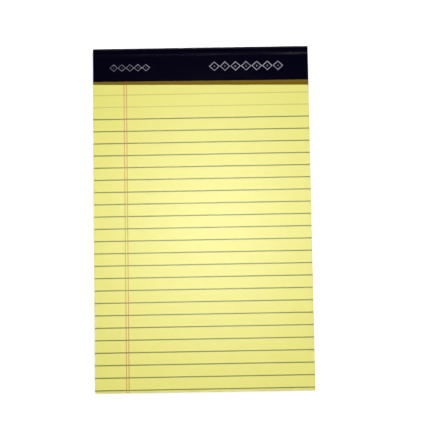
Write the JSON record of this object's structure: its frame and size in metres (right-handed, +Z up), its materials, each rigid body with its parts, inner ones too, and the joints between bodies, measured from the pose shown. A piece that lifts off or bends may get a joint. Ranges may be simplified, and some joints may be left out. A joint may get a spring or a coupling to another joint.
{
  "type": "legal pad",
  "caption": "Top-bound junior legal pad: ruled canary sheets with a double margin line, perforated under a folded navy binding tape, wire stapled to a chipboard back.",
  "frame": {"origin": "under the middle of the pad, on the surface that it lies on", "axes": "+X across the sheets to the right of the writing, +Y along the sheets to the bound head, +Z up and out of the writing face"},
  "size_m": [0.127, 0.2032, 0.0071],
  "materials": {
    "canary_paper": "uncoated writing paper, matt",
    "chipboard": "raw grey-brown board, matt",
    "navy_binding_tape": "coated paper tape, satin",
    "galvanised_wire": "drawn and galvanised"
  },
  "bodies": {
    "root": {"writing_sheets": "canary_paper", "backing_board": "chipboard", "binding_tape": "navy_binding_tape", "staple_left": "galvanised_wire", "staple_right": "galvanised_wire"}
  },
  "joints": []
}
